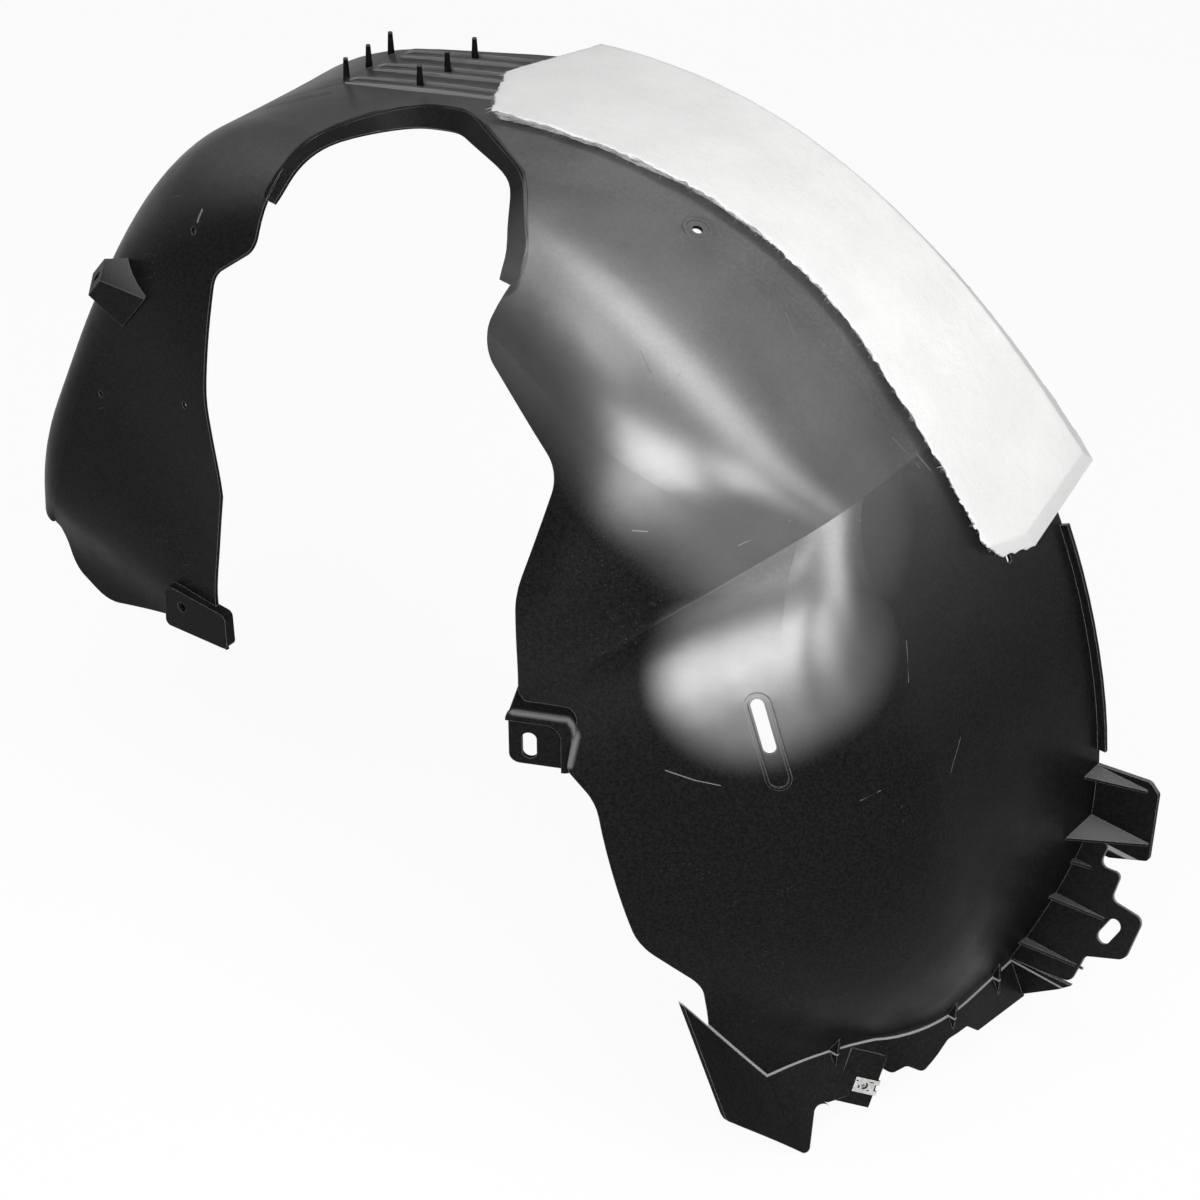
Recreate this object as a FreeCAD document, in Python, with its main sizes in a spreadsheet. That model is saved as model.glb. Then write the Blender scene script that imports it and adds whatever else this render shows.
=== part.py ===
import FreeCAD, Part
import math
import os
from FreeCAD import Placement, Rotation, Vector

# Wheel arch liner: a moulded shell, a foam pad on its outboard edge and a spring nut on its foot.
# The wheel axis is the Y axis, +Y points outboard, +X to the rear and +Z up.
doc = FreeCAD.newDocument("wheel_arch_liner")
sheet = doc.addObject("Spreadsheet::Sheet", "sizes")

# Stations of the shell: each is a section in a plane through the wheel axis.
# A section runs from the outboard edge along the barrel, round the shoulder and down the wall.
FIELDS = ("angle", "edge_r", "edge_y", "corner_r", "corner_y", "wall_r", "wall_y", "round")
STATIONS = {
    "foot": (-28, 391, 0, 389, -100, 330, -300, 100),
    "hock": (-15, 388, 0, 386, -172, 252, -306, 150),
    "sill": (0, 385, 0, 385, -208, 240, -316, 118),
    "heel": (14, 382, 0, 386, -222, 235, -324, 90),
    "haunch": (28, 384, 0, 388, -220, 230, -330, 85),
    "ledge": (36, 387, 0, 389.5, -212, 226, -331, 70),
    "crease": (43, 390, 0, 391, -176, 225, -330, 60),
    "brow": (51, 392.5, 0, 393.5, -208, 230, -320, 80),
    "bulge": (62, 394, 0, 397, -225, 236, -303, 90),
    "nape": (78, 388, 0, 392, -215, 250, -270, 80),
    "crown": (95, 383, 0, 388, -205, 260, -260, 70),
    "fore": (112, 383, -3, 390, -205, 250, -255, 62),
    "temple": (128, 406, -18, 408, -220, 230, -255, 85),
    "cheek": (145, 406, -60, 374, -232, 200, -255, 45),
    "shin": (162, 395, -98, 369, -241, 182, -256, 36),
    "ankle": (178, 393, -120, 383, -246, 175, -258, 32),
    "toe": (194, 398, -135, 394, -249, 172, -260, 30),
}
LOWER = ("foot", "hock", "sill", "heel", "haunch", "ledge", "crease")
UPPER = ("crease", "brow", "bulge", "nape", "crown", "fore", "temple", "cheek", "shin", "ankle", "toe")
PADDED = ("heel", "haunch", "ledge", "crease", "brow", "bulge", "nape", "crown", "fore")

# Single sizes, in millimetres and degrees.
SIZES = {
    "skin": 2.6,
    "through": 900,
    "view_tilt": 45,
    "lip_width": 15,
    "arch_front": -145,
    "arch_rear": 73,
    "arch_top": 193,
    "leg_inner": -176,
    "bead_height": 3,
    "bead_width": 14,
    "bead_line": 3,
    "bead_front": -203,
    "bead_rear": -64,
    "bead_first": -19,
    "bead_pitch": 27,
    "bead_count": 3,
    "pin_root_r": 2.6,
    "pin_tip_r": 1.6,
    "pin_height": 16,
    "pin_front_x": -214,
    "pin_rear_x": -136,
    "boss_base": 42,
    "boss_top": 22,
    "boss_height": 19,
    "boss_root": 11,
    "boss_slot": 13,
    "tab_width": 43,
    "tab_height": 45,
    "tab_depth": 30,
    "tab_round": 8,
    "tab_border": 9,
    "tab_sink": 3,
    "tab_turn": 28,
    "tab_slot_length": 20,
    "tab_slot_width": 9,
    "panel_depth": 8,
    "shin_hole_r": 4,
    "ring_r": 9.5,
    "ring_hole_r": 3.4,
    "ring_height": 2,
    "pocket_slot_length": 36,
    "pocket_slot_width": 8,
    "pocket_border": 4,
    "small_hole_r": 2.5,
    "fold_low": -147,
    "fold_outer_z": -44,
    "fold_inner_z": -65,
    "fold_inner_y": -285,
    "fold_corner_y": -237,
    "fold_bend_y": -44,
    "skirt_lean": 25,
    "skirt_reach": 110,
    "rib_thick": 2,
    "rib_rise": 16,
    "rim_height": 6,
    "rim_start": 4,
    "rim_end": 29,
    "pad_thick": 10,
    "pad_overhang": 45,
    "nut_y": -180,
    "nut_drop": 32,
    "nut_width": 10.5,
    "nut_length": 16.5,
    "nut_sheet": 0.9,
    "nut_gap": 0.15,
    "nut_bore_r": 2.5,
    "nut_collar_r": 4,
    "nut_collar_length": 4,
    "nut_tab_turn": -26,
    "nut_tab_proud": 1.1,
    "nut_tab_edge": 8.7,
    "nut_tab_below": 14.5,
    "nut_tab_width": 27,
    "nut_tab_length": 38,
    "nut_tab_hole_r": 4.5,
}

cells = dict(SIZES)
for station, numbers in STATIONS.items():
    for field, number in zip(FIELDS, numbers):
        cells[f"{station}_{field}"] = number
for row, (name, number) in enumerate(cells.items(), start=1):
    sheet.set(f"A{row}", name)
    sheet.set(f"B{row}", str(number))
    sheet.setAlias(f"B{row}", name)
doc.recompute()


def val(name):
    """Read one named size from the sheet."""
    return float(sheet.get(name))


def bind(obj, **links):
    """Tie the properties of an object to cells of the sheet."""
    for prop, text in links.items():
        obj.setExpression(prop, text)


skin = val("skin")
tilt = Rotation(Vector(1, 0, 0), val("view_tilt"))


def section(name, offset, extend=0):
    """Edge, start, middle and end of the round, and wall end of one station, moved out by offset."""
    angle, edge_r, edge_y, corner_r, corner_y, wall_r, wall_y, rounding = (
        val(f"{name}_{field}") for field in FIELDS)
    corner = Vector(corner_r, corner_y, 0)
    along = (Vector(edge_r, edge_y, 0) - corner).normalize()
    down = (Vector(wall_r, wall_y, 0) - corner).normalize()
    half = along.getAngle(down) / 2
    reach = rounding / math.tan(half)
    centre = corner + (along + down).normalize() * (rounding / math.sin(half))
    barrel_out = Vector(along.y, -along.x, 0) * offset
    wall_out = Vector(-down.y, down.x, 0) * offset
    flat = (
        Vector(edge_r, edge_y, 0) + along * extend + barrel_out,
        corner + along * reach + barrel_out,
        centre + (corner - centre).normalize() * (rounding + offset),
        corner + down * reach + wall_out,
        Vector(wall_r, wall_y, 0) + wall_out,
    )
    turn = math.radians(angle)
    return [Vector(p.x * math.cos(turn), p.y, p.x * math.sin(turn)) for p in flat]


def line(a, b):
    return Part.LineSegment(a, b).toShape()


def form(label, names, outer, inner, extend=0):
    """Loft a closed band between two offsets of the shell through the named stations."""
    profiles = []
    for name in names:
        out = section(name, outer, extend)
        back = section(name, inner, extend)
        edges = [
            line(out[0], out[1]),
            Part.Arc(out[1], out[2], out[3]).toShape(),
            line(out[3], out[4]),
            line(out[4], back[4]),
            line(back[4], back[3]),
            Part.Arc(back[3], back[2], back[1]).toShape(),
            line(back[1], back[0]),
            line(back[0], out[0]),
        ]
        profile = doc.addObject("Part::Feature", f"{label}_{name}")
        profile.Shape = Part.Wire(edges)
        profiles.append(profile)
    loft = doc.addObject("Part::Loft", label)
    loft.Sections = profiles
    loft.Solid = True
    doc.recompute()
    return loft


def rounded(corners):
    """Lines and arcs of an outline whose corners are given as x, y and an optional radius."""
    ends = []
    count = len(corners)
    for i, corner in enumerate(corners):
        here = Vector(corner[0], corner[1], 0)
        radius = corner[2] if len(corner) > 2 else 0
        if not radius:
            ends.append((here, None, here))
            continue
        before = corners[i - 1]
        after = corners[(i + 1) % count]
        back = (Vector(before[0], before[1], 0) - here).normalize()
        ahead = (Vector(after[0], after[1], 0) - here).normalize()
        half = back.getAngle(ahead) / 2
        reach = radius / math.tan(half)
        middle = here + (back + ahead).normalize() * (radius / math.sin(half) - radius)
        ends.append((here + back * reach, middle, here + ahead * reach))
    pieces = []
    for i, (start, middle, end) in enumerate(ends):
        if middle is not None:
            pieces.append(Part.Arc(start, middle, end))
        pieces.append(Part.LineSegment(end, ends[(i + 1) % count][0]))
    return pieces


def prism(label, outlines, plane, length, placement=None):
    """A body padded both ways from a sketch of outlines on one of its own planes."""
    body = doc.addObject("PartDesign::Body", label)
    sketch = body.newObject("Sketcher::SketchObject", f"{label}_sketch")
    support = [o for o in body.Origin.OriginFeatures if o.Role == plane]
    sketch.AttachmentSupport = [(support[0], "")]
    sketch.MapMode = "FlatFace"
    for outline in outlines:
        sketch.addGeometry(outline, False)
    pad = body.newObject("PartDesign::Pad", f"{label}_pad")
    pad.Profile = sketch
    pad.SideType = "Symmetric"
    bind(pad, Length=length)
    if placement:
        body.Placement = placement
    doc.recompute()
    return body


def slot(centre, length, width, turn=0):
    """Outline of an obround slot."""
    half = (length - width) / 2
    r = width / 2
    spin = Rotation(Vector(0, 0, 1), turn)
    mid = Vector(centre[0], centre[1], 0)

    def at(x, y):
        return mid + spin.multVec(Vector(x, y, 0))

    return [
        Part.LineSegment(at(-half, -r), at(half, -r)),
        Part.Arc(at(half, -r), at(half + r, 0), at(half, r)),
        Part.LineSegment(at(half, r), at(-half, r)),
        Part.Arc(at(-half, r), at(-half - r, 0), at(-half, -r)),
    ]


def cut(label, base, tools):
    """Take tools away from a base."""
    result = doc.addObject("Part::Cut", label)
    result.Base = base
    result.Tool = fuse(f"{label}_tools", tools) if len(tools) > 1 else tools[0]
    doc.recompute()
    return result


def fuse(label, pieces):
    """Join pieces to one solid."""
    result = doc.addObject("Part::MultiFuse", label)
    result.Shapes = pieces
    doc.recompute()
    return result


def keep(label, base, tool):
    """Keep what two pieces share."""
    result = doc.addObject("Part::Common", label)
    result.Base = base
    result.Tool = tool
    doc.recompute()
    return result


def made(label, shape):
    """A piece whose form is worked out from the sheet in this file."""
    result = doc.addObject("Part::Feature", label)
    result.Shape = shape
    return result


# The bare shell: two lofts that meet in a sharp valley at the crease station.
lower = form("lower_form", LOWER, 0, -skin)
upper = form("upper_form", UPPER, 0, -skin)
bare = fuse("bare_form", [lower, upper])
inside = [form("lower_within", LOWER, -skin / 2, -20), form("upper_within", UPPER, -skin / 2, -20)]
within = fuse("within_form", inside)


def on_skin(start, end):
    """First point where a straight line from start to end enters the bare shell."""
    hits = bare.Shape.common(Part.makeLine(start, end)).Vertexes
    return min((v.Point for v in hits), key=lambda p: (p - start).Length)


# The opening for the strut and the axle, drawn on a plane tilted about the X axis.
arch_front = val("arch_front")
arch_rear = val("arch_rear")
arch_top = val("arch_top")
leg_inner = val("leg_inner")
opening_corners = [
    (leg_inner + 6, -330),
    (leg_inner + 13, -95, 80),
    (leg_inner - 2, -45, 60),
    (leg_inner, 31, 15),
    (arch_front + 2, 56, 18),
    (arch_front + 5, arch_top - 8, 60),
    (-66, arch_top + 3, 60),
    (28, 166, 90),
    (arch_rear, 118, 34),
    (arch_rear - 10, 62, 24),
    (146, 14, 22),
    (143, -62, 50),
    (165, -117, 8),
    (200, -111, 6),
    (203, -142, 6),
    (222, -152, 20),
    (248, -223, 14),
    (276, -230, 6),
    (270, -330),
]
opening = prism("opening", [rounded(opening_corners)], "XY_Plane", "sizes.through",
                Placement(Vector(), tilt))

# The lip turned into the arch of the opening: shares of its width at shares of the way to the rear.
LIP_RUN = ((0, 0.3), (0.2, 0.8), (0.45, 1), (0.68, 0.55), (0.88, 0.9), (1, 0.3))


def lip_share(along):
    """Width of the lip between two neighbouring places of its run."""
    for (start, first), (end, second) in zip(LIP_RUN, LIP_RUN[1:]):
        if along <= end:
            return first + (second - first) * (along - start) / (end - start)


arch_points = Part.Wire([p.toShape() for p in rounded(opening_corners)[8:17]]).discretize(Number=18)
lip_profiles = []
for i in range(1, len(arch_points) - 1):
    here = arch_points[i]
    ahead = (arch_points[i + 1] - arch_points[i - 1]).normalize()
    inward = Vector(ahead.y, -ahead.x, 0)
    width = val("lip_width") * lip_share(i / (len(arch_points) - 1))
    high = on_skin(tilt.multVec(here + Vector(0, 0, 700)), tilt.multVec(here))
    side = tilt.multVec(inward)
    sink = tilt.multVec(Vector(0, 0, -1))
    first = high + sink * 0.2
    corners = [
        first - side * skin * 0.8,
        first + side * width,
        first + side * width + sink * skin,
        first - side * skin * 0.8 + sink * skin,
    ]
    lip_profiles.append(Part.makePolygon(corners + corners[:1]))
lip = made("arch_lip", Part.makeLoft(lip_profiles, True))

# The fold of the foot, as outboard distance and height, and the directions its flanges take.
fold = [
    Vector(0, val("fold_inner_y"), val("fold_inner_z")),
    Vector(0, val("fold_corner_y"), val("fold_low")),
    Vector(0, val("fold_bend_y"), val("fold_low") + 2),
    Vector(0, -0.5, val("fold_outer_z")),
]
lean = math.radians(val("skirt_lean"))
skirt_way = Vector(math.sin(lean), 0, -math.cos(lean))
foot_trim = prism(
    "foot_trim",
    [rounded([(-420, fold[0].z)] + [(p.y, p.z) for p in fold]
             + [(60, fold[3].z), (60, -360), (-420, -360)])],
    "YZ_Plane", "sizes.through", Placement(Vector(150 + val("through") / 2, 0, 0), Rotation()))


def band(first, second, way):
    """Carry the cut edge of the shell between two fold points along a direction."""
    near = Vector(180, 0, 0)
    far = Vector(500, 0, 0)
    corners = [first + near, first + far, second + far, second + near]
    face = Part.Face(Part.makePolygon(corners + corners[:1]))
    return lower.Shape.common(face).extrude(way)


skirt_bands = [band(a, b, skirt_way * val("skirt_reach")) for a, b in zip(fold[:2], fold[1:3])]
skirt_rough = fuse("skirt_rough", [made(f"skirt_band_{i}", shape) for i, shape in enumerate(skirt_bands)])
skirt_outline = [
    (-310, -40),
    (-284, -148, 3),
    (-229, -209, 4),
    (-210, -172, 6),
    (-206, -180, 3),
    (-188, -180, 4),
    (-180, -164, 3),
    (-168, -166, 3),
    (-163, -172, 3),
    (-154, -168, 3),
    (-146, -175, 4),
    (-122, -161, 8),
    (-104, -161, 3),
    (-96, -169, 3),
    (-20, -176),
    (-20, -40),
]
skirt = keep("skirt", skirt_rough,
             prism("skirt_outline", [rounded(skirt_outline)], "YZ_Plane", "sizes.through"))

# The wing that carries the slot tab, flat along the slanted end of the fold, and the plate above it.
wing_up = (fold[3] - fold[2]).normalize()
wing_span = (fold[3] - fold[2]).Length
wing_turn = Rotation(Vector(1, 0, 0), wing_up, Vector(), "YXZ")


def fold_x(share):
    """X of the shell's outer face at a share of the slanted fold."""
    at = fold[2] + (fold[3] - fold[2]) * share
    return on_skin(at + Vector(600, 0, 0), at + Vector(200, 0, 0)).x


root = [Vector(fold_x(share) - skin * 0.7, wing_span * share, 0) for share in (-0.02, 0.5, 0.98)]
wing_edge = rounded([
    (root[2].x, root[2].y),
    (401, wing_span - 4, 3),
    (399, 90, 5),
    (416, 92, 4),
    (415, 72, 5),
    (441, 70, 6),
    (438, 38, 8),
    (411, 27, 5),
    (407, 5, 6),
    (root[0].x, root[0].y),
])[:-1]
wing = prism("wing", [wing_edge + [Part.Arc(root[0], root[1], root[2])]], "XY_Plane", "sizes.skin",
             Placement(fold[2], wing_turn))
plate_outline = [(382.5, 14), (424, 21, 4), (431, 14, 3), (431, -44, 5), (402, -58, 4), (382.5, -58)]
plate = prism("plate", [rounded(plate_outline)], "XZ_Plane", "sizes.skin",
              Placement(Vector(0, -skin / 2, 0), Rotation()))
webs = []
for i, (height, depth, far) in enumerate(((13, 18, 423), (-30, 34, 429))):
    outline = rounded([(383, -depth), (383, -1), (far, -1), (far, -4)])
    at = Placement(Vector(0, 0, height), Rotation())
    webs.append(prism(f"web_{i}", [outline], "XY_Plane", "sizes.rib_thick", at))
heel_web_outline = [(357, -145), (409, -141), (400, -150, 8), (372, -173)]
webs.append(prism("heel_web", [rounded(heel_web_outline)], "XZ_Plane", "sizes.skin",
                  Placement(Vector(0, val("fold_bend_y"), 0), Rotation())))

# Thin ribs across the folds of the foot.
ribs = []
half_rib = Vector(0, val("rib_thick") / 2, 0)
for i, (y, rise, drop) in enumerate(((-192, 1.0, 13), (-115, 1.0, 13), (-66, 0.9, 16))):
    z = fold[1].z + (fold[2].z - fold[1].z) * (y - fold[1].y) / (fold[2].y - fold[1].y)
    bend = on_skin(Vector(600, y, z), Vector(200, y, z))
    top_z = z + val("rib_rise") * rise
    top = on_skin(Vector(600, y, top_z), Vector(200, y, top_z))
    toe = bend + skirt_way * drop
    outline = [top - half_rib, toe - half_rib, bend - Vector(1.2, 0, 0) - half_rib, top - half_rib]
    ribs.append(made(f"fold_rib_{i}", Part.Face(Part.makePolygon(outline)).extrude(half_rib * 2)))
for i, (share, up, reach, stand) in enumerate(((0.16, 14, 46, 12), (0.52, 14, 44, 12), (0.78, 10, 16, 8))):
    bend = fold[2] + (fold[3] - fold[2]) * share
    bend = on_skin(Vector(600, bend.y, bend.z), Vector(200, bend.y, bend.z))
    away = (fold[3] - fold[2]).normalize()
    upright = Vector(0, -away.z, away.y)
    outline = [bend - Vector(1.2, 0, 0), bend + Vector(reach, 0, 0),
               bend + upright * stand + Vector(1, 0, 0)]
    base = Part.makePolygon([p - away * val("rib_thick") / 2 for p in outline + outline[:1]])
    ribs.append(made(f"wing_rib_{i}", Part.Face(base).extrude(away * val("rib_thick"))))

# The narrow rim that stands out along the outboard edge above the foot.
rim_profiles = []
for name in LOWER:
    edge = section(name, 0)[0]
    out = Vector(edge.x, 0, edge.z).normalize()
    low = edge - out * skin * 0.6
    high = edge + out * val("rim_height")
    thick = Vector(0, -skin, 0)
    rim_profiles.append(Part.makePolygon([low, high, high + thick, low + thick, low]))
rim_span = [(0, 0)]
for angle in (val("rim_start"), 14, 15.2, 16.4, val("rim_end")):
    reach = 389 if angle == 15.2 else 600
    rim_span.append((reach * math.cos(math.radians(angle)), reach * math.sin(math.radians(angle))))
rim = keep("rim", made("rim_band", Part.makeLoft(rim_profiles, True)),
           prism("rim_span", [rounded(rim_span)], "XZ_Plane", "sizes.through"))

# Three raised loops on the crown and two rows of three pins among them.
bead_mid = (val("bead_front") + val("bead_rear")) / 2
bead_length = val("bead_rear") - val("bead_front")
bead_ys = [val("bead_first") - val("bead_pitch") * i for i in range(int(val("bead_count")))]
loops = []
for y in bead_ys:
    loops.append(slot((bead_mid, y), bead_length, val("bead_width")))
    line_width = val("bead_width") - 2 * val("bead_line")
    loops.append(slot((bead_mid, y), bead_length - 2 * val("bead_line"), line_width))
raised = form("raised_form", UPPER[3:8], val("bead_height"), -1)
beads = keep("beads", raised, prism("bead_loops", loops, "XY_Plane", "sizes.through",
                                    Placement(Vector(0, 0, 160 + val("through") / 2), Rotation())))
pins = []
for x in (val("pin_front_x"), val("pin_rear_x")):
    for i, y in enumerate(bead_ys):
        at_x = x if x == val("pin_rear_x") else x + 5 * i
        foot = on_skin(Vector(at_x, y, 500), Vector(at_x, y, 100))
        pin = doc.addObject("Part::Cone", f"pin_{len(pins)}")
        bind(pin, Radius1="sizes.pin_root_r", Radius2="sizes.pin_tip_r",
             Height="sizes.pin_height + sizes.skin")
        pin.Placement = Placement(foot - Vector(0, 0, skin * 0.8), Rotation())
        pins.append(pin)

# The stand-off on the front shoulder: a hollow tapered block with a slot in its flat top.
boss_angle = math.radians(141)
boss_way = Vector(0.76 * math.cos(boss_angle), -0.65, 0.76 * math.sin(boss_angle)).normalize()
boss_foot = on_skin(Vector(-263, -228, 226) + boss_way * 80, Vector(-263, -228, 226) - boss_way * 80)
boss_turn = Rotation(Vector(math.sin(boss_angle), 0, -math.cos(boss_angle)), boss_way, Vector(), "YXZ")
boss_parts = []
for name, inset in (("boss_outer", "0"), ("boss_inner", "sizes.skin")):
    boss = doc.addObject("Part::Wedge", name)
    bind(boss, Xmin=f"-sizes.boss_base / 2 + {inset}", Xmax=f"sizes.boss_base / 2 - {inset}",
         Zmin=f"-sizes.boss_base * 0.4 + {inset}", Zmax=f"sizes.boss_base * 0.4 - {inset}",
         X2min=f"-sizes.boss_top / 2 + {inset}", X2max=f"sizes.boss_top / 2 - {inset}",
         Z2min=f"-sizes.boss_top * 0.4 + {inset}", Z2max=f"sizes.boss_top * 0.4 - {inset}",
         Ymin="-sizes.boss_root", Ymax=f"sizes.boss_height - {inset}")
    boss.Placement = Placement(boss_foot, boss_turn)
    boss_parts.append(boss)
boss_slot = prism("boss_slot", [slot((0, 0), val("boss_slot"), 5)], "XZ_Plane", "sizes.boss_height",
                  Placement(boss_foot + boss_way * val("boss_height"), boss_turn))

# The slotted tab on the inboard edge of the rear leg: a sunk plate under a raised border, open at the back.
tab_at = Vector(184, -326, 136)
tab_turn = Rotation(Vector(0, 0, 1), val("tab_turn"))
tab_out = tab_turn.multVec(Vector(0, -1, 0))
tab_x = val("tab_width") / 2
tab_z = val("tab_height") / 2


def tab_block(label, corners, front, depth):
    """A block of the tab, of a named depth, starting a distance behind its face."""
    middle = tab_at - tab_out * (front + val(depth) / 2)
    return prism(label, [rounded(corners)], "XZ_Plane", f"sizes.{depth}", Placement(middle, tab_turn))


def square(half_x, half_z, radius):
    return [(-half_x, -half_z, radius), (half_x, -half_z, radius),
            (half_x, half_z, radius), (-half_x, half_z, radius)]


tab_round = val("tab_round")
tab = tab_block("tab", square(tab_x, tab_z, tab_round), 0, "tab_depth")
past = 5
hollow_x = tab_x - skin
hollow_z = tab_z - skin
tab_hollow = tab_block("tab_hollow", [(-tab_x - past, -tab_z - past), (hollow_x, -tab_z - past),
                                      (hollow_x, hollow_z, tab_round - skin), (-tab_x - past, hollow_z)],
                       skin, "tab_depth")
sunk_x = tab_x - val("tab_border")
sunk_z = tab_z - val("tab_border")
sunk_corners = [(-tab_x, -tab_z), (sunk_x, -tab_z), (sunk_x, sunk_z, 10), (-tab_x, sunk_z)]
tab_sunk = tab_block("tab_sunk", sunk_corners, 0, "tab_sink")
tab_plate = tab_block("tab_plate", square(tab_x - 1.2, tab_z - 1.2, tab_round - 1.2), skin, "tab_sink")
tab_shell = cut("tab_shell", fuse("tab_walls", [cut("tab_tray", tab, [tab_hollow]), tab_plate]), [tab_sunk])
tab_slot = prism("tab_slot", [slot((-7.5, -6.5), val("tab_slot_length"), val("tab_slot_width"), 90)],
                 "XZ_Plane", "sizes.tab_depth", Placement(tab_at, tab_turn))

# The foot of the front leg: its curved lower edge and a raised panel with a hole, hollow behind.
toe_trim = prism(
    "toe_trim",
    [rounded([(-470, 60), (-360, -12, 5), (-352, -44, 20), (-310, -53, 50), (-236, -25, 3), (-140, -16),
              (-140, -190), (-470, -190)])],
    "XZ_Plane", "sizes.through")
panel_corners = [(-226, -21, 4), (-163, -13, 6), (-163, 17, 4), (-223, 16, 8)]
panel_solid = prism("panel_solid", [rounded(panel_corners)], "XZ_Plane", "sizes.panel_depth",
                    Placement(Vector(0, -258.5, 0), Rotation()))
hollow_corners = [(-223, -17.5, 3), (-166, -11, 4), (-166, 14, 3), (-220.5, 13.5, 6)]
panel_hollow = prism("panel_hollow", [rounded(hollow_corners)], "XZ_Plane", "sizes.panel_depth",
                     Placement(Vector(0, -258.5 + skin, 0), Rotation()))
panel = cut("panel", panel_solid, [panel_hollow])

# A flat tab under the spring nut, in line with the skirt and turned a little in its plane.
nut_start = Vector(600, val("nut_y"), val("fold_low"))
nut_fold = on_skin(nut_start, nut_start - Vector(400, 0, 0))
skirt_level = Vector(0.545, 0.838, 0).normalize()
nut_out = skirt_way.cross(skirt_level).normalize()
nut_axis = nut_fold + skirt_way * val("nut_drop") + nut_out * val("nut_tab_proud")
nut_across = Rotation(nut_out, val("nut_tab_turn")).multVec(skirt_level)
nut_down = nut_across.cross(nut_out)
nut_tab = doc.addObject("Part::Box", "nut_tab")
bind(nut_tab, Length="sizes.nut_tab_width", Width="sizes.nut_tab_length", Height="sizes.skin")
nut_edge = nut_axis + nut_across * val("nut_tab_edge")
nut_tab_corner = nut_edge - nut_across * val("nut_tab_width") - nut_out * skin
nut_tab_corner += nut_down * val("nut_tab_below")
nut_tab.Placement = Placement(nut_tab_corner, Rotation(nut_across, nut_down * -1, nut_out, "ZXY"))


def drill(label, radius, at, way, length):
    """A round cutter centred on a point and pointing along a direction."""
    tool = doc.addObject("Part::Cylinder", label)
    bind(tool, Radius=radius, Height=length)
    tool.Placement = Placement(at, Rotation(Vector(0, 0, 1), way))
    return tool


# Holes: the ringed hole on the barrel, the pocket slot on the haunch and the small holes.
ring_angle = math.radians(71)
ring_way = Vector(math.cos(ring_angle), 0, math.sin(ring_angle))
ring_at = on_skin(ring_way * 500 + Vector(0, -112, 0), Vector(0, -112, 0))
ring = drill("ring", "sizes.ring_r", ring_at - ring_way * 1.2, ring_way, "sizes.ring_height")
ring_well = drill("ring_well", "sizes.ring_r - 2", ring_at, ring_way, "sizes.ring_height")
ring_hole = drill("ring_hole", "sizes.ring_hole_r", ring_at - ring_way * 8, ring_way, "16")

pocket_way = Vector(0.62, -0.70, 0.36).normalize()
pocket_at = on_skin(Vector(297, -255, 163) + pocket_way * 60, Vector(297, -255, 163) - pocket_way * 60)
pocket_turn = Rotation(Vector(0.43, -0.08, -0.90), Vector(), pocket_way, "ZXY")
pocket_slot = prism("pocket_slot", [slot((0, 0), val("pocket_slot_length"), val("pocket_slot_width"))],
                    "XY_Plane", "sizes.pocket_slot_length", Placement(pocket_at, pocket_turn))
border = 2 * val("pocket_border")
pocket_rim = [slot((10, 0), val("pocket_slot_length") + 20 + border, val("pocket_slot_width") + border),
              slot((10, 0), val("pocket_slot_length") + 16 + border, val("pocket_slot_width") + border - 4)]
pocket_raised = form("pocket_form", LOWER[1:], 1.6, -1)
pocket_border = keep("pocket_border", pocket_raised,
                     prism("pocket_rim", pocket_rim, "XY_Plane", "sizes.pocket_slot_length * 2",
                           Placement(pocket_at, pocket_turn)))

shin_hole = drill("shin_hole", "sizes.shin_hole_r", Vector(-207, -290, 3), Vector(0, 1, 0), "60")
small_holes = [shin_hole]

# Two rivet holes in the front leg share one direction, square to the line between them.
inboard = Vector(0, -1, 0)
rivets = [on_skin(Vector(x, -320, z), Vector(x, -200, z)) for x, z in ((-294, 135), (-200, 170))]
rivet_line = rivets[1] - rivets[0]
rivet_way = (inboard - rivet_line * (inboard.dot(rivet_line) / rivet_line.dot(rivet_line))).normalize()
shoulder_way = Vector(-0.4, -0.7, 0.6).normalize()
for at, way in ((rivets[0], rivet_way), (rivets[1], rivet_way), (Vector(-199, -224, 295), shoulder_way)):
    label = f"small_hole_{len(small_holes)}"
    small_holes.append(drill(label, "sizes.small_hole_r", at - way * 40, way, "80"))
edge_slot_way = Vector(math.cos(math.radians(30)), 0, math.sin(math.radians(30)))
edge_slot_turn = Rotation(Vector(0, 0, 1), edge_slot_way)
edge_slot = prism("edge_slot", [slot((0, 0), 9, 4)], "XY_Plane", "sizes.tab_depth",
                  Placement(edge_slot_way * 386 + Vector(0, -58, 0), edge_slot_turn))
wing_slot = prism("wing_slot", [slot((421, 51), 21, 10, 68)], "XY_Plane", "sizes.tab_depth",
                  Placement(fold[2], wing_turn))
nut_hole = drill("nut_hole", "sizes.nut_tab_hole_r", nut_axis - nut_out * 12, nut_out, "24")

# The finished shell: trimmed form, features that stand on it without reaching inside it, then the holes.
trimmed = cut("trimmed", bare, [opening, foot_trim, toe_trim])
within_trimmed = cut("within_trimmed", within, [opening])
standing = cut("standing", fuse("standing_parts", [tab_shell, boss_parts[0]]), [within_trimmed])
shell_parts = [trimmed, lip, skirt, wing, plate, rim, beads, panel, nut_tab, ring, pocket_border, standing]
joined = fuse("joined", shell_parts + webs + ribs + pins)
holes = [boss_parts[1], boss_slot, tab_slot, panel_hollow, ring_well, ring_hole, pocket_slot, edge_slot,
         wing_slot, nut_hole] + small_holes
liner_shell = cut("liner_shell", joined, holes)

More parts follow.
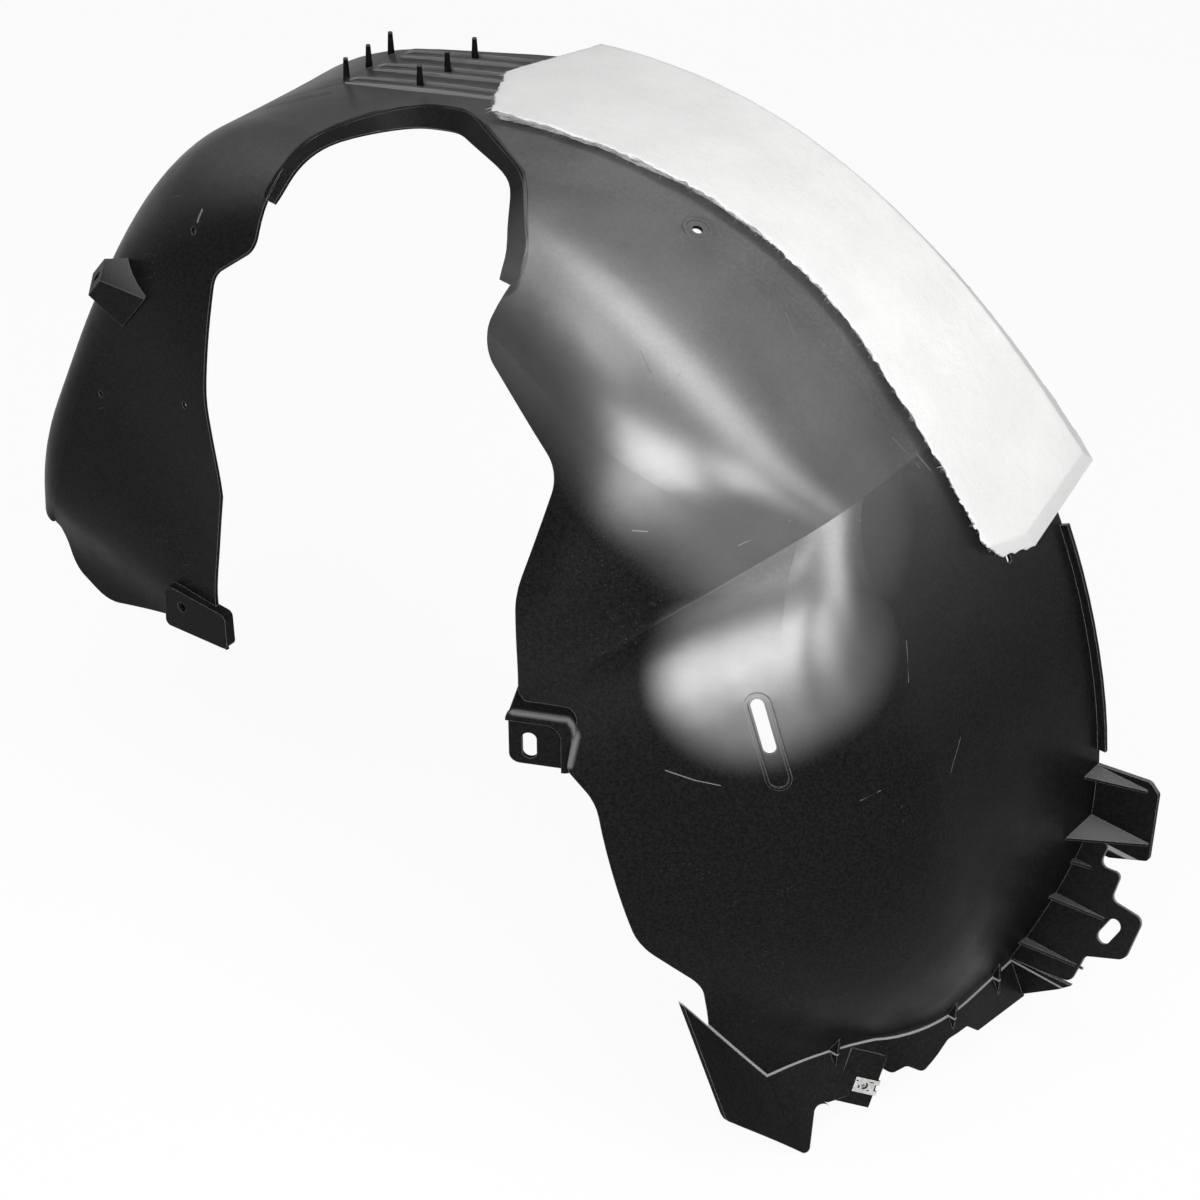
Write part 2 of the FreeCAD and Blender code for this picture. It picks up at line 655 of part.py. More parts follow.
# The foam pad, laid on the barrel and cut to its outline on the tilted plane.
pad_inner = Part.BSplineCurve()
pad_inner.interpolate([Vector(-38, 198, 0), Vector(65, 207, 0), Vector(190, 189, 0), Vector(290, 130, 0),
                       Vector(333, 92, 0)])
pad_outer = Part.BSplineCurve()
pad_outer.interpolate([Vector(328, 178, 0), Vector(228, 241, 0), Vector(60, 283, 0), Vector(-46, 280, 0)])
pad_outline = [pad_inner, Part.LineSegment(Vector(333, 92, 0), Vector(338, 112, 0)),
               Part.LineSegment(Vector(338, 112, 0), Vector(328, 178, 0)), pad_outer,
               Part.LineSegment(Vector(-46, 280, 0), Vector(-72, 232, 0)),
               Part.LineSegment(Vector(-72, 232, 0), Vector(-38, 198, 0))]
pad_layer = form("pad_layer", PADDED, val("pad_thick"), -skin * 0.4, val("pad_overhang"))
pad_prism = prism("pad_outline", [pad_outline], "XY_Plane", "sizes.through", Placement(Vector(), tilt))
pad_block = keep("pad_block", pad_layer, pad_prism)
foam_pad = cut("foam_pad", pad_block, [bare])

# The spring nut: a strip folded round the side edge of its tab, with a threaded collar behind.
mouth = skin / 2 + val("nut_gap")
outside = mouth + val("nut_sheet")
back_end = val("nut_length")
nut_profile = [
    Part.LineSegment(Vector(back_end, outside, 0), Vector(0, outside, 0)),
    Part.Arc(Vector(0, outside, 0), Vector(-outside, 0, 0), Vector(0, -outside, 0)),
    Part.LineSegment(Vector(0, -outside, 0), Vector(back_end, -outside, 0)),
    Part.LineSegment(Vector(back_end, -outside, 0), Vector(back_end, -mouth, 0)),
    Part.LineSegment(Vector(back_end, -mouth, 0), Vector(0, -mouth, 0)),
    Part.Arc(Vector(0, -mouth, 0), Vector(-mouth, 0, 0), Vector(0, mouth, 0)),
    Part.LineSegment(Vector(0, mouth, 0), Vector(back_end, mouth, 0)),
    Part.LineSegment(Vector(back_end, mouth, 0), Vector(back_end, outside, 0)),
]
nut_turn = Rotation(nut_down * -1, nut_across * -1, nut_out, "ZXY")
nut_strip = prism("nut_strip", [nut_profile], "YZ_Plane", "sizes.nut_width",
                  Placement(nut_edge - nut_out * skin / 2, nut_turn))
collar = drill("nut_collar", "sizes.nut_collar_r", nut_axis - nut_out * (skin / 2 + mouth), nut_out * -1,
               "sizes.nut_collar_length")
nut_bore = drill("nut_bore", "sizes.nut_bore_r", nut_axis - nut_out * 15, nut_out, "30")
spring_nut = cut("spring_nut", fuse("nut_body", [nut_strip, collar]), [nut_bore])

# Check every object, then write the three pieces.
doc.recompute()
failed = [o.Label for o in doc.Objects if "Invalid" in o.State or "Error" in o.State]
if failed:
    raise RuntimeError(f"objects failed: {failed}")
os.makedirs("parts", exist_ok=True)
for piece in (liner_shell, foam_pad, spring_nut):
    shape = piece.Shape
    if shape.isNull() or not shape.isValid() or len(shape.Solids) != 1:
        raise RuntimeError(f"{piece.Label} is not one valid solid but {len(shape.Solids)}")
    shape.Solids[0].exportStep(f"parts/{piece.Label}.step")
    print(piece.Label, round(shape.Volume), shape.optimalBoundingBox())
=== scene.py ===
"""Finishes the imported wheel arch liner.

The moulded shell gets its black plastic, the foam pad its torn edges and the spring nut its folded
sheet, and all of it stands on a white stage.
"""

import math
import random

import bmesh
import bpy
from bpy.props import FloatProperty, FloatVectorProperty, IntProperty, PointerProperty
from bpy.types import Operator, Panel, PropertyGroup
from mathutils import Matrix, Vector, noise


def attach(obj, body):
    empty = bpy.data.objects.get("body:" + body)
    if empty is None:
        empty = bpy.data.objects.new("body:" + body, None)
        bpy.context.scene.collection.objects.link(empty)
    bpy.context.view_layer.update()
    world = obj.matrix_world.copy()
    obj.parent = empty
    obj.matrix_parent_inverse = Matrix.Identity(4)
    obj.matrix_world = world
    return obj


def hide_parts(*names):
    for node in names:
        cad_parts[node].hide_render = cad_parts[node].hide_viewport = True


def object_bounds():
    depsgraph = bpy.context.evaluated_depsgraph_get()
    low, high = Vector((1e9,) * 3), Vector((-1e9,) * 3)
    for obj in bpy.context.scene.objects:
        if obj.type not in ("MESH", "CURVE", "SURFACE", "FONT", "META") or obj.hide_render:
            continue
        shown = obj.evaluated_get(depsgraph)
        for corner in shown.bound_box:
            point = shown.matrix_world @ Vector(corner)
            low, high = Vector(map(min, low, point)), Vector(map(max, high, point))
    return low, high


bl_info = {
    "name": "Wheel Arch Liner",
    "version": (1, 0, 0),
    "blender": (4, 5, 0),
    "location": "View3D > Sidebar > Liner",
    "description": "Finishes the shell, the foam pad and the spring nut of a wheel arch liner",
    "category": "Object",
}

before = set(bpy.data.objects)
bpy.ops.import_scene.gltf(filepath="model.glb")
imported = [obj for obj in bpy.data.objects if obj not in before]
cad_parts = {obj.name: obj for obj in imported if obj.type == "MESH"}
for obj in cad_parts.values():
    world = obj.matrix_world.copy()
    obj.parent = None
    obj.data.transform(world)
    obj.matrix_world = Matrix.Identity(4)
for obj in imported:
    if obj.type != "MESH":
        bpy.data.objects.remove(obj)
CAD_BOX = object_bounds()
BODY = "root"
MM = 0.001

# The spring nut's place on the rear foot, as the solids have it.
NUT_CENTRE = Vector((0.338149, -0.180559, -0.175601))
NUT_ACROSS = Vector((0.62382, 0.66644, -0.40829)).normalized()
NUT_OUT = Vector((0.780772, -0.507781, 0.364080)).normalized()

# The nut's sheet: the tab that it grips, the play on each side, the cells along and across a leaf,
# the back leaf's share of the front leaf's length, and the collar's height and hold in the leaf.
NUT_GRIP = 2.6 * MM
NUT_PLAY = 0.15 * MM
LEAF_CELLS = (22, 14)
BACK_SHARE = 0.95
COLLAR_HEIGHT = 3 * MM
COLLAR_HOLD = 0.1 * MM

# Slits in the nut's front leaf, in millimetres from the bore: from and to along it, from and to across it.
NUT_SLITS = (
    (-4.6, -3.3, -1.8, 2.4),
    (2.9, 5.6, -3.7, -2.7),
    (3.0, 4.4, 2.0, 2.9),
    (-6.8, -5.8, -3.0, -2.0),
    (7.2, 9.0, -2.4, 2.4),
)

# The straight cut at the foam pad's lower end: two points on its edge, the way the knife went, and how
# far inside the edge it went.
PAD_END = (Vector((0.3289, 0.0426, 0.2006)), Vector((0.3374, -0.0217, 0.1861)))
PAD_CUT = Vector((-0.396, 0.709, -0.584))
PAD_TRIM = 3 * MM

# Where the shell's parts lie: its crown loops and its rear foot behind a place along the car, the turn
# from the inboard wall to the barrel across it, and the stretch along it where the dust and the painted top
# light thicken.
LOOPS_BEHIND = -0.2005
FOOT_BEHIND = 0.2
WALL_TO_BARREL = (-0.27, -0.20)
FRONT_TO_CROWN = (-0.22, 0.08)

# The rear foot folds out of the leg along these lines, given across the car and upwards. A painted highlight
# and a small raised bump run along them.
FOLD_WIDTH = 1.1 * MM
FOLD_LINES = (
    ((-0.285, -0.065), (-0.237, -0.147)),
    ((-0.237, -0.147), (-0.044, -0.147)),
    ((-0.044, -0.147), (-0.002, -0.048)),
)

# Stretches of the shell that are rubbed to a shine: two ends and a reach.
RUBBED = (
    ((0.110, -0.205, 0.372), (0.264, -0.188, 0.275), 0.100),
    ((0.308, -0.224, 0.212), (0.280, -0.250, 0.190), 0.068),
)

# The turned-in lip of the strut cut-out, along its middle: it is kept free of dust and gloss, as painted
# shade, and stays dark.
LIP_LINE = (
    (-0.1363, -0.2073, 0.3382), (-0.1349, -0.1725, 0.3597), (-0.1343, -0.1455, 0.3607),
    (-0.1276, -0.1245, 0.3621), (-0.0984, -0.1065, 0.3649), (-0.0730, -0.1075, 0.3707),
    (-0.0424, -0.1223, 0.3787), (0.0166, -0.1558, 0.3832), (0.0541, -0.1961, 0.3740),
    (0.0654, -0.2165, 0.3602),
)

# The rounded rib over the slotted tab, along its top: it gets a painted highlight.
RIB_CREST = (
    (0.1692, -0.3339, 0.1563), (0.1994, -0.3178, 0.1561), (0.2026, -0.3161, 0.1505),
    (0.2030, -0.3148, 0.1436), (0.2039, -0.3225, 0.1263),
)

# The raised loops on the crown, along their middles: two ends of each, then the two radii of their walls.
CROWN_LOOPS = (
    ((-0.196, -0.019, 0), (-0.071, -0.019, 0)),
    ((-0.196, -0.046, 0), (-0.071, -0.046, 0)),
    ((-0.196, -0.073, 0), (-0.071, -0.073, 0)),
)
LOOP_RADII = (0.004, 0.007)

# Single marks, light and dark: two ends on the shell and a width. The light ones are scratches, save three
# painted highlights, two along the crease and a streak on the front shoulder. The last two dark ones are
# grooves, drawn only as painted shade.
LIGHT_SCRATCHES_AND_HIGHLIGHTS = (
    ((0.2532, -0.2921, 0.1297), (0.2693, -0.2835, 0.1251), 0.0005),
    ((0.2693, -0.2835, 0.1251), (0.2822, -0.2758, 0.1232), 0.0004),
    # Painted highlight along the crease.
    ((0.2471, -0.2192, 0.2524), (0.2665, -0.1954, 0.2663), 0.0004),
    ((0.2849, -0.0939, 0.2670), (0.2932, -0.0904, 0.2571), 0.0007),
    ((0.3500, -0.2271, 0.1169), (0.3561, -0.2156, 0.1205), 0.0003),
    ((0.3701, -0.1612, 0.1060), (0.3654, -0.1457, 0.1212), 0.0003),
    ((0.3351, -0.1674, 0.1945), (0.3454, -0.1777, 0.1742), 0.0003),
    # Painted highlight: a light streak on the front shoulder.
    ((-0.1980, -0.2219, 0.3021), (-0.1972, -0.2180, 0.3092), 0.0012),
    ((0.1979, -0.1146, 0.3423), (0.2106, -0.1220, 0.3344), 0.0005),
    ((0.2731, -0.1037, 0.2794), (0.2897, -0.0975, 0.2615), 0.0004),
    ((0.1972, -0.2565, 0.2607), (0.2047, -0.2518, 0.2609), 0.0005),
    # Painted highlight along the crease.
    ((0.2680, -0.2011, 0.2483), (0.2923, -0.1608, 0.2590), 0.0008),
)
DARK_SCRATCHES_AND_GROOVE_SHADE = (
    ((0.1886, -0.2177, 0.3321), (0.1887, -0.2032, 0.3407), 0.0005),
    ((0.2012, -0.2256, 0.3172), (0.2052, -0.2339, 0.3037), 0.0007),
    ((0.1639, -0.2098, 0.3488), (0.1755, -0.2147, 0.3409), 0.0005),
    ((0.2475, -0.2204, 0.2459), (0.2511, -0.2033, 0.2852), 0.0004),
    ((0.2482, -0.1999, 0.2927), (0.2464, -0.1904, 0.3010), 0.0005),
    # The two grooves: painted shade, with no relief.
    ((-0.2282, -0.1265, 0.3340), (-0.1969, -0.0987, 0.3446), 0.0045),
    ((-0.2281, -0.1030, 0.3332), (-0.2014, -0.0767, 0.3437), 0.0040),
)

# Greys laid over the plastic on its edges (wear and painted edge highlights), on its loop walls and folds
# (painted highlights) and in its dark scratches and grooves (painted shade in the grooves), and over the
# foam in its nap and, as painted shade, between the strands of its torn side.
EDGE_WEAR_AND_HIGHLIGHT_GREY = (0.17, 0.17, 0.17, 1)
LOOP_HIGHLIGHT_GREY = (0.24, 0.24, 0.24, 1)
FOLD_HIGHLIGHT_GREY = (0.30, 0.30, 0.30, 1)
SCRATCH_AND_GROOVE_SHADE_GREY = (0.02, 0.02, 0.02, 1)
NAP_GREY = (0.45, 0.45, 0.45, 1)
STRAND_SHADE_GREY = (0.20, 0.20, 0.20, 1)

# The stage: the floor's reach and its drop below the liner, the camera's place, target and sensor in
# millimetres, and the lamps around one point. A lamp has a name, the setting with its power, a bearing
# and a rise in degrees, a distance, a length and a width.
FLOOR_REACH = 20
FLOOR_DROP = 0.5 * MM
CAMERA_PLACE = Vector((1.09605, -1.35730, 1.31932))
CAMERA_TARGET = Vector((0.083, -0.150, 0.088))
CAMERA_SENSOR = 36
LAMP_TARGET = Vector((0.10, -0.17, 0.12))
LAMPS = (
    ("overhead_lamp", "strip", 0, 66, 2.1, 0.8, 4.0),
    ("rear_lamp", "side", -26, 24, 2.2, 0.8, 0.8),
    ("front_lamp", "left", -108, 62, 2.2, 0.8, 0.8),
    ("inboard_lamp", "low", -68, 23, 2.2, 1.5, 1.3),
)


class LINER_PG_plastic(PropertyGroup):
    """Sizes and colours of the black plastic."""

    black: FloatVectorProperty(name="Plastic", description="Colour of the clean plastic", subtype="COLOR",
                               size=4, min=0, max=1, default=(0.006, 0.006, 0.006, 1))
    # Partly dust and partly painted top light: this grey grows with the upward slope of a face.
    dust_and_top_light: FloatVectorProperty(name="Dust", description="Colour of the dust on faces that look up",
                              subtype="COLOR", size=4, min=0, max=1, default=(0.125, 0.125, 0.125, 1))
    # Also the colour of the painted highlights on the tab's rib and along the crease.
    scuff_and_highlight: FloatVectorProperty(name="Scuff", description="Colour of scratched plastic", subtype="COLOR",
                               size=4, min=0, max=1, default=(0.13, 0.13, 0.13, 1))
    gloss: FloatProperty(name="Reflection", description="Reflection of the matt sides", default=0.025,
                         min=0, max=1, subtype="FACTOR")
    sheen_index: FloatProperty(name="Skin Index", description="Refraction of the glossy moulded skin",
                               default=2.3, min=1, max=3)
    sheen_rough: FloatProperty(name="Skin Roughness", description="Roughness of the glossy moulded skin",
                               default=0.34, min=0, max=1, subtype="FACTOR")
    edge: FloatProperty(name="Edge Radius", description="Rounding that the light shows on moulded edges",
                        default=0.8 * MM, min=0, unit="LENGTH")


class LINER_PG_foam(PropertyGroup):
    """Sizes and colours of the foam pad."""

    colour: FloatVectorProperty(name="Foam", description="Colour of the foam", subtype="COLOR",
                                size=4, min=0, max=1, default=(0.68, 0.68, 0.675, 1))
    voxel: FloatProperty(name="Skin Cell", description="Cell size of the pad's even skin", default=1.4 * MM,
                         min=1 * MM, unit="LENGTH")
    tear: FloatProperty(name="Tear Depth", description="How far the torn edge wanders", default=3.2 * MM,
                        min=0, unit="LENGTH")
    wave: FloatProperty(name="Unevenness", description="How far the pad's face wanders", default=0.5 * MM,
                        min=0, unit="LENGTH")
    fibres: IntProperty(name="Fibres", description="Loose fibres along the torn edge", default=700, min=0)
    fibre_length: FloatProperty(name="Fibre Length", description="Longest loose fibre", default=3.6 * MM,
                                min=0, unit="LENGTH")
    seed: IntProperty(name="Seed", description="Start of the pattern of tears", default=7)


class LINER_PG_nut(PropertyGroup):
    """Sizes and colours of the spring nut."""

    steel: FloatVectorProperty(name="Steel", description="Colour of the plated steel", subtype="COLOR",
                               size=4, min=0, max=1, default=(0.80, 0.79, 0.77, 1))
    sheet: FloatProperty(name="Sheet", description="Thickness of the steel", default=0.9 * MM, unit="LENGTH")
    width: FloatProperty(name="Width", description="Width of the strip", default=10.5 * MM, unit="LENGTH")
    length: FloatProperty(name="Length", description="Length of the front leaf", default=16.5 * MM,
                          unit="LENGTH")
    edge: FloatProperty(name="Edge", description="From the bore to the edge of the tab", default=8.7 * MM,
                        unit="LENGTH")
    bore: FloatProperty(name="Bore Radius", description="Radius of the threaded bore", default=2.5 * MM,
                        unit="LENGTH")
    collar: FloatProperty(name="Collar Radius", description="Radius of the threaded collar", default=4 * MM,
                          unit="LENGTH")


class LINER_PG_stage(PropertyGroup):
    """Floor, lamps and camera."""

    floor: FloatVectorProperty(name="Floor", description="Colour of the floor", subtype="COLOR", size=4,
                               min=0, max=1, default=(0.80, 0.80, 0.80, 1))
    white: FloatProperty(name="White", description="Share of plain white in the floor", default=0.92,
                         min=0, max=1, subtype="FACTOR")
    sky: FloatProperty(name="Room Light", description="Brightness of the room", default=0.22, min=0)
    strip: FloatProperty(name="Overhead Lamp", description="Power of the long lamp overhead", default=37,
                         min=0, unit="POWER")
    side: FloatProperty(name="Rear Lamp", description="Power of the lamp on the rear side", default=11,
                        min=0, unit="POWER")
    left: FloatProperty(name="Front Lamp", description="Power of the lamp on the front side", default=5,
                        min=0, unit="POWER")
    low: FloatProperty(name="Inboard Lamp", description="Power of the lamp on the inboard side",
                       default=40, min=0, unit="POWER")
    lens: FloatProperty(name="Lens", description="Focal length of the camera", default=90.8, unit="CAMERA")


def link_new(name, mesh):
    """A new object at the origin that shows a mesh."""
    made = bpy.data.objects.new(name, mesh)
    bpy.context.scene.collection.objects.link(made)
    return made


def tone(colour, factor):
    """A lighter or darker tone of a colour."""
    return tuple(part * factor for part in tuple(colour)[:3]) + (1,)


class Wiring:
    """Adds shader nodes to a tree and joins them."""

    def __init__(self, tree):
        self.tree = tree

    def add(self, kind, **settings):
        """A node with some of its settings."""
        node = self.tree.nodes.new(kind)
        for name, value in settings.items():
            setattr(node, name, value)
        return node

    def feed(self, socket, value):
        """Give a socket another socket's value, or a plain one."""
        if isinstance(value, bpy.types.NodeSocket):
            self.tree.links.new(value, socket)
        else:
            socket.default_value = value

    def math(self, operation, *values, clamp=False):
        """The result of a sum, product or other operation."""
        node = self.add("ShaderNodeMath", operation=operation, use_clamp=clamp)
        for socket, value in zip(node.inputs, values):
            self.feed(socket, value)
        return node.outputs[0]

    def times(self, first, *others):
        """The product of two or more values."""
        for value in others:
            first = self.math("MULTIPLY", first, value)
        return first

    def parts(self, vector):
        """The parts X, Y and Z of a vector."""
        node = self.add("ShaderNodeSeparateXYZ")
        self.feed(node.inputs[0], vector)
        return node.outputs

    def join(self, *parts):
        """A vector of three parts."""
        node = self.add("ShaderNodeCombineXYZ")
        for socket, part in zip(node.inputs, parts):
            self.feed(socket, part)
        return node.outputs[0]

    def facing(self):
        """The way that the surface looks."""
        return self.add("ShaderNodeNewGeometry").outputs["Normal"]

    def vector(self, operation, *values):
        """The node of a vector operation."""
        node = self.add("ShaderNodeVectorMath", operation=operation)
        for socket, value in zip(node.inputs, values):
            self.feed(socket, value)
        return node

    def ramp(self, value, low, high, start=0.0, end=1.0):
        """A smooth step of a value from start at low to end at high."""
        node = self.add("ShaderNodeMapRange", interpolation_type="SMOOTHSTEP")
        for socket, given in zip(node.inputs, (value, low, high, start, end)):
            self.feed(socket, given)
        return node.outputs[0]

    def mix(self, share, first, second):
        """A colour between two."""
        node = self.add("ShaderNodeMix", data_type="RGBA")
        self.feed(node.inputs["Factor"], share)
        self.feed(node.inputs[6], first)
        self.feed(node.inputs[7], second)
        return node.outputs[2]

    def noise(self, place, scale, detail=3.0, rough=0.55):
        """A cloudy pattern of a given scale."""
        node = self.add("ShaderNodeTexNoise")
        for name, value in (("Vector", place), ("Scale", scale), ("Detail", detail), ("Roughness", rough)):
            self.feed(node.inputs[name], value)
        return node.outputs["Fac"]

    def use(self, group, **inputs):
        """A node of a group with some of its inputs."""
        node = self.add("ShaderNodeGroup", node_tree=group)
        for name, value in inputs.items():
            self.feed(node.inputs[name.replace("_", " ").capitalize()], value)
        return node


def new_group(name, inputs, outputs):
    """A shader node group with named inputs and outputs: its wiring and its two end nodes."""
    tree = bpy.data.node_groups.new(name, "ShaderNodeTree")
    for label, kind, default in inputs:
        socket = tree.interface.new_socket(label, in_out="INPUT", socket_type=f"NodeSocket{kind}")
        socket.default_value = default
    for label, kind in outputs:
        tree.interface.new_socket(label, in_out="OUTPUT", socket_type=f"NodeSocket{kind}")
    wiring = Wiring(tree)
    return wiring, wiring.add("NodeGroupInput").outputs, wiring.add("NodeGroupOutput").inputs


def dust_and_top_light_group():
    """Dust that settles on faces that look up, in soft patches, and painted top light: the mask grows with
    the upward slope, so it also lightens top faces as light from above would.
    """
    wiring, given, result = new_group(
        "Settled dust",
        [("Low slope", "Float", 0.4), ("High slope", "Float", 0.9), ("Patch scale", "Float", 14.0)],
        [("Mask", "Float")])
    place = wiring.add("ShaderNodeTexCoord").outputs["Object"]
    slope = wiring.ramp(wiring.parts(wiring.facing())["Z"], given["Low slope"], given["High slope"])
    patches = wiring.ramp(wiring.noise(place, given["Patch scale"], 5.0), 0.25, 0.75, 0.72, 1.08)
    speckle = wiring.ramp(wiring.noise(place, 420.0, 2.0), 0.3, 0.8, 0.85, 1.1)
    wiring.feed(result["Mask"], wiring.times(slope, patches, speckle))
    return wiring.tree


def scuff_group():
    """Fine random scratches in two directions."""
    wiring, given, result = new_group(
        "Fine scratches",
        [("Length scale", "Float", 9.0), ("Fineness", "Float", 900.0)],
        [("Mask", "Float")])
    place = wiring.add("ShaderNodeTexCoord").outputs["Object"]
    streaks = []
    for turn in ((0.3, 0.5, 0.2), (1.1, -0.4, 0.9)):
        turned = wiring.add("ShaderNodeVectorRotate", rotation_type="EULER_XYZ")
        wiring.feed(turned.inputs["Vector"], place)
        turned.inputs["Rotation"].default_value = turn
        stretch = wiring.join(given["Length scale"], given["Fineness"], given["Fineness"])
        drawn = wiring.vector("MULTIPLY", turned.outputs[0], stretch).outputs[0]
        streaks.append(wiring.ramp(wiring.noise(drawn, 1.0, 1.0), 0.70, 0.80))
    where = wiring.ramp(wiring.noise(place, 11.0, 2.0), 0.50, 0.72)
    wiring.feed(result["Mask"], wiring.times(wiring.math("MAXIMUM", *streaks), where))
    return wiring.tree


def line_group():
    """A straight line on a surface between two points, and how far each place is from it."""
    wiring, given, result = new_group(
        "Drawn line",
        [("Point", "Vector", (0, 0, 0)), ("Start", "Vector", (0, 0, 0)), ("End", "Vector", (0, 0, 1)),
         ("Width", "Float", 0.001)],
        [("Mask", "Float"), ("Away", "Float")])
    run = wiring.vector("SUBTRACT", given["End"], given["Start"]).outputs[0]
    reach = wiring.vector("SUBTRACT", given["Point"], given["Start"]).outputs[0]
    along = wiring.vector("DOT_PRODUCT", reach, run).outputs["Value"]
    whole = wiring.vector("DOT_PRODUCT", run, run).outputs["Value"]
    share = wiring.math("DIVIDE", along, whole, clamp=True)
    scaled = wiring.vector("SCALE", run)
    wiring.feed(scaled.inputs["Scale"], share)
    away = wiring.vector("DISTANCE", reach, scaled.outputs[0]).outputs["Value"]
    inner = wiring.times(given["Width"], 0.5)
    wiring.feed(result["Mask"], wiring.ramp(away, inner, given["Width"], 1.0, 0.0))
    wiring.feed(result["Away"], away)
    return wiring.tree


def edge_group():
    """Rounded edges: the softened normal and a mask of where it turns."""
    wiring, given, result = new_group(
        "Moulded edges", [("Radius", "Float", 0.001)], [("Mask", "Float"), ("Normal", "Vector")])
    soft = wiring.add("ShaderNodeBevel", samples=6)
    wiring.feed(soft.inputs["Radius"], given["Radius"])
    agree = wiring.vector("DOT_PRODUCT", soft.outputs[0], wiring.facing()).outputs["Value"]
    wiring.feed(result["Mask"], wiring.ramp(agree, 0.80, 0.98, 1.0, 0.0))
    wiring.feed(result["Normal"], soft.outputs[0])
    return wiring.tree


def new_material(name):
    """A material with its wiring, its Principled shader's inputs and its Object coordinates."""
    material = bpy.data.materials.new(name)
    material.use_nodes = True
    wiring = Wiring(material.node_tree)
    shader = material.node_tree.nodes["Principled BSDF"]
    return material, wiring, shader.inputs, wiring.add("ShaderNodeTexCoord").outputs["Object"]


def bump(wiring, height, strength, distance, normal=None):
    """The normal of a surface with a fine relief."""
    node = wiring.add("ShaderNodeBump")
    node.inputs["Strength"].default_value = strength
    node.inputs["Distance"].default_value = distance
    wiring.feed(node.inputs["Height"], height)
    if normal is not None:
        wiring.feed(node.inputs["Normal"], normal)
    return node.outputs[0]


def line_mask(wiring, drawn, point, rows):
    """The mask of several straight lines, each with two ends and a width."""
    mask = 0.0
    for start, end, width in rows:
        line = wiring.use(drawn, point=point, start=start, end=end, width=width)
        mask = wiring.math("MAXIMUM", mask, line.outputs["Mask"])
    return mask


def chain_mask(wiring, drawn, point, chain, near, far, start, end):
    """A value that goes from start near a chain of points to end far from it."""
    away = far
    for first, last in zip(chain, chain[1:]):
        line = wiring.use(drawn, point=point, start=first, end=last)
        away = wiring.math("MINIMUM", away, line.outputs["Away"])
    return wiring.ramp(away, near, far, start, end)


def loop_highlight_mask(wiring, drawn, place):
    """The walls of the raised loops, seen from above, where painted highlights go."""
    plan = wiring.vector("MULTIPLY", place, (1, 1, 0)).outputs[0]
    mask = 0.0
    for start, end in CROWN_LOOPS:
        line = wiring.use(drawn, point=plan, start=start, end=end)
        for radius in LOOP_RADII:
            gap = wiring.math("ABSOLUTE", wiring.math("SUBTRACT", line.outputs["Away"], radius))
            mask = wiring.math("MAXIMUM", mask, wiring.ramp(gap, 0.6 * MM, 1.2 * MM, 1.0, 0.0))
    return mask


def fold_mask(wiring, drawn, place):
    """The lines along which the rear foot folds, seen along the car, where a painted highlight goes."""
    across = wiring.vector("MULTIPLY", place, (0, 1, 1)).outputs[0]
    rows = [((0, *start), (0, *end), FOLD_WIDTH) for start, end in FOLD_LINES]
    return line_mask(wiring, drawn, across, rows)


